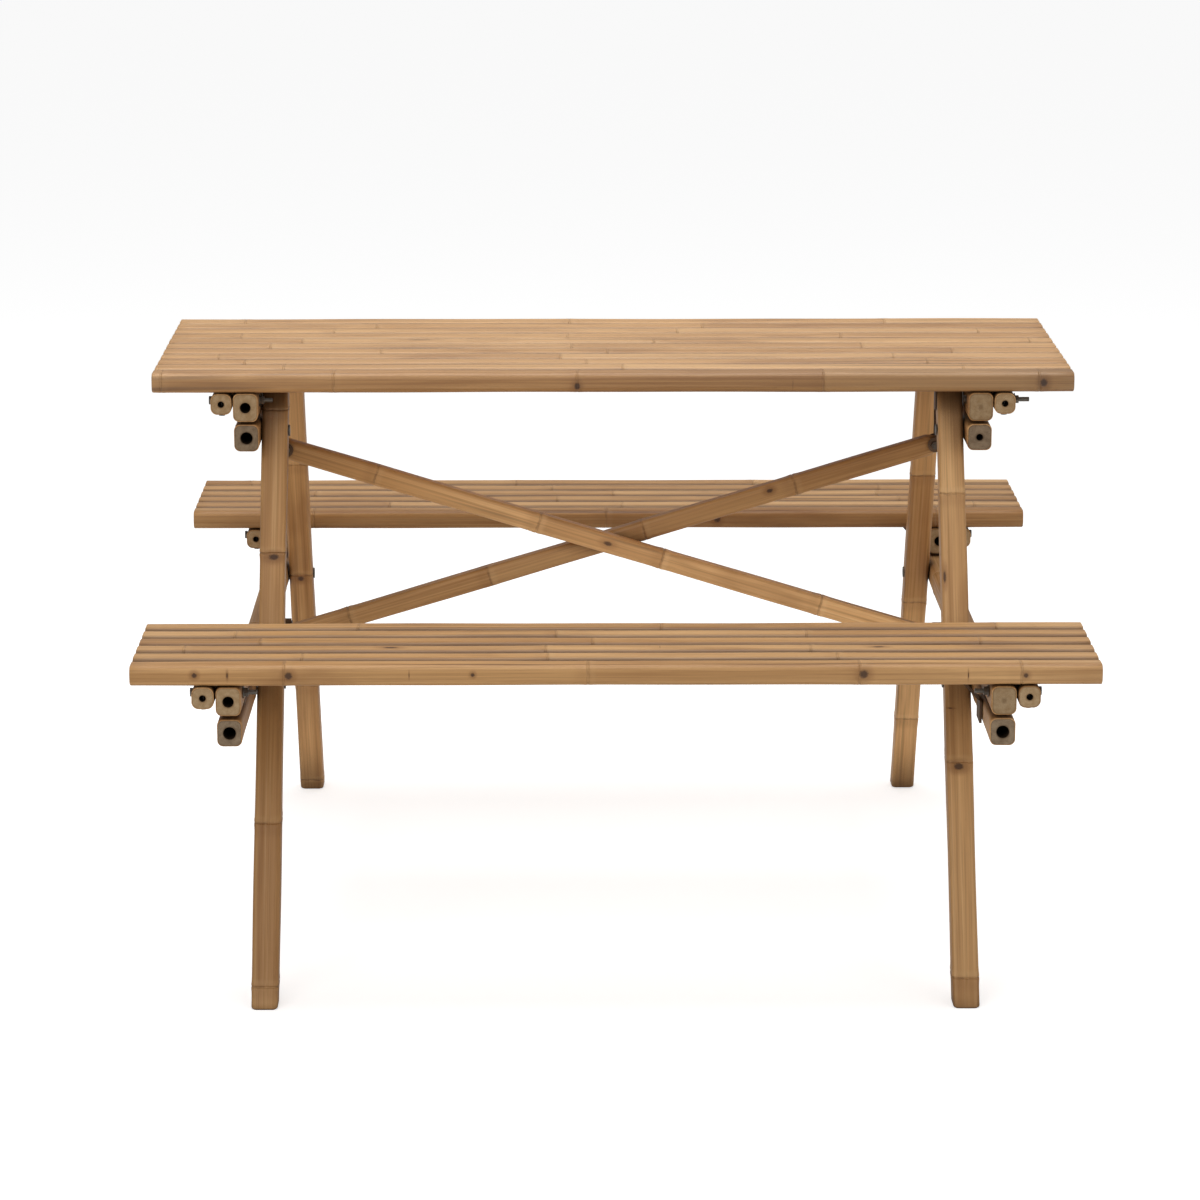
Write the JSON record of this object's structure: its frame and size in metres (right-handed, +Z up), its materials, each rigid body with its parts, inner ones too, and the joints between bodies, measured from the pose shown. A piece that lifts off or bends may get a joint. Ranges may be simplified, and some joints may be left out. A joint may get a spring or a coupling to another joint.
{
  "type": "picnic table",
  "caption": "Bamboo picnic table with two attached slatted benches, A-shaped end frames and crossed braces, hinged to fold flat sideways.",
  "frame": {"origin": "on the floor under the centre of the tabletop", "axes": "+X along the slats towards the right-hand end frame, -Y towards the front bench, +Z up"},
  "size_m": [1.2, 1.2164, 0.76],
  "materials": {
    "bamboo_slats": "satin, clear varnish over natural bamboo",
    "bamboo_poles": "satin, clear varnish over natural bamboo",
    "steel": "dull zinc plate",
    "coated_steel": "brown powder coat, rubbed along its edges"
  },
  "bodies": {
    "table_top": {"top_slat_01": "bamboo_slats", "top_slat_02": "bamboo_slats", "top_slat_03": "bamboo_slats", "top_slat_04": "bamboo_slats", "top_slat_05": "bamboo_slats", "top_slat_06": "bamboo_slats", "top_slat_07": "bamboo_slats", "top_slat_08": "bamboo_slats", "top_slat_09": "bamboo_slats", "top_slat_10": "bamboo_slats", "top_slat_11": "bamboo_slats", "top_upper_rail_left": "bamboo_poles", "top_upper_rail_right": "bamboo_poles", "top_batten_left": "bamboo_poles", "top_batten_right": "bamboo_poles", "top_fasteners": "steel", "top_hinge_leaves": "coated_steel"},
    "left_frame": {"left_front_leg": "bamboo_poles", "left_rear_leg": "bamboo_poles", "left_top_rail": "bamboo_poles", "left_seat_rail": "bamboo_poles", "left_frame_bolts": "steel", "left_frame_hinge_leaves": "coated_steel", "left_frame_brace_catches": "coated_steel"},
    "right_frame": {"right_front_leg": "bamboo_poles", "right_rear_leg": "bamboo_poles", "right_top_rail": "bamboo_poles", "right_seat_rail": "bamboo_poles", "right_frame_bolts": "steel", "right_frame_hinge_leaves": "coated_steel", "right_frame_brace_brackets": "coated_steel"},
    "front_bench": {"front_bench_slat_01": "bamboo_slats", "front_bench_slat_02": "bamboo_slats", "front_bench_slat_03": "bamboo_slats", "front_bench_slat_04": "bamboo_slats", "front_bench_slat_05": "bamboo_slats", "front_bench_slat_06": "bamboo_slats", "front_bench_upper_rail_left": "bamboo_poles", "front_bench_upper_rail_right": "bamboo_poles", "front_bench_batten_left": "bamboo_poles", "front_bench_batten_right": "bamboo_poles", "front_bench_fasteners": "steel", "front_bench_hinge_leaves": "coated_steel"},
    "rear_bench": {"rear_bench_slat_01": "bamboo_slats", "rear_bench_slat_02": "bamboo_slats", "rear_bench_slat_03": "bamboo_slats", "rear_bench_slat_04": "bamboo_slats", "rear_bench_slat_05": "bamboo_slats", "rear_bench_slat_06": "bamboo_slats", "rear_bench_upper_rail_left": "bamboo_poles", "rear_bench_upper_rail_right": "bamboo_poles", "rear_bench_batten_left": "bamboo_poles", "rear_bench_batten_right": "bamboo_poles", "rear_bench_fasteners": "steel", "rear_bench_hinge_leaves": "coated_steel"},
    "front_brace": {"front_brace": "bamboo_poles", "front_brace_bolts": "steel"},
    "rear_brace": {"rear_brace": "bamboo_poles", "rear_brace_bolts": "steel"}
  },
  "joints": [
    {"name": "fold", "type": "hinge", "parent": "table_top", "child": "left_frame", "pos_m": [-0.4945, 0, 0.6935], "axis": [0, 1, 0], "range_deg": [0, 76]},
    {"name": "right_frame_fold", "type": "hinge", "parent": "table_top", "child": "right_frame", "pos_m": [0.4215, 0, 0.7275], "axis": [0, 1, 0], "range_deg": [0, 76]},
    {"name": "front_bench_level", "type": "hinge", "parent": "left_frame", "child": "front_bench", "pos_m": [-0.4945, -0.4841, 0.3915], "axis": [0, 1, 0], "range_deg": [-76, 0]},
    {"name": "rear_bench_level", "type": "hinge", "parent": "left_frame", "child": "rear_bench", "pos_m": [-0.4945, 0.4841, 0.3915], "axis": [0, 1, 0], "range_deg": [-76, 0]},
    {"name": "front_brace_swing", "type": "hinge", "parent": "right_frame", "child": "front_brace", "pos_m": [0.44, -0.0155, 0.355], "axis": [0, 1, 0], "range_deg": [-91.13, 0]},
    {"name": "rear_brace_swing", "type": "hinge", "parent": "right_frame", "child": "rear_brace", "pos_m": [0.44, 0.0155, 0.621], "axis": [0, 1, 0], "range_deg": [-64.61, 0]}
  ],
  "couplings": [
    {"joint": "right_frame_fold", "follows": "fold", "ratio": 1},
    {"joint": "front_bench_level", "follows": "fold", "ratio": -1},
    {"joint": "rear_bench_level", "follows": "fold", "ratio": -1},
    {"joint": "front_brace_swing", "follows": "fold", "ratio": -1.199},
    {"joint": "rear_brace_swing", "follows": "fold", "ratio": -0.85}
  ]
}
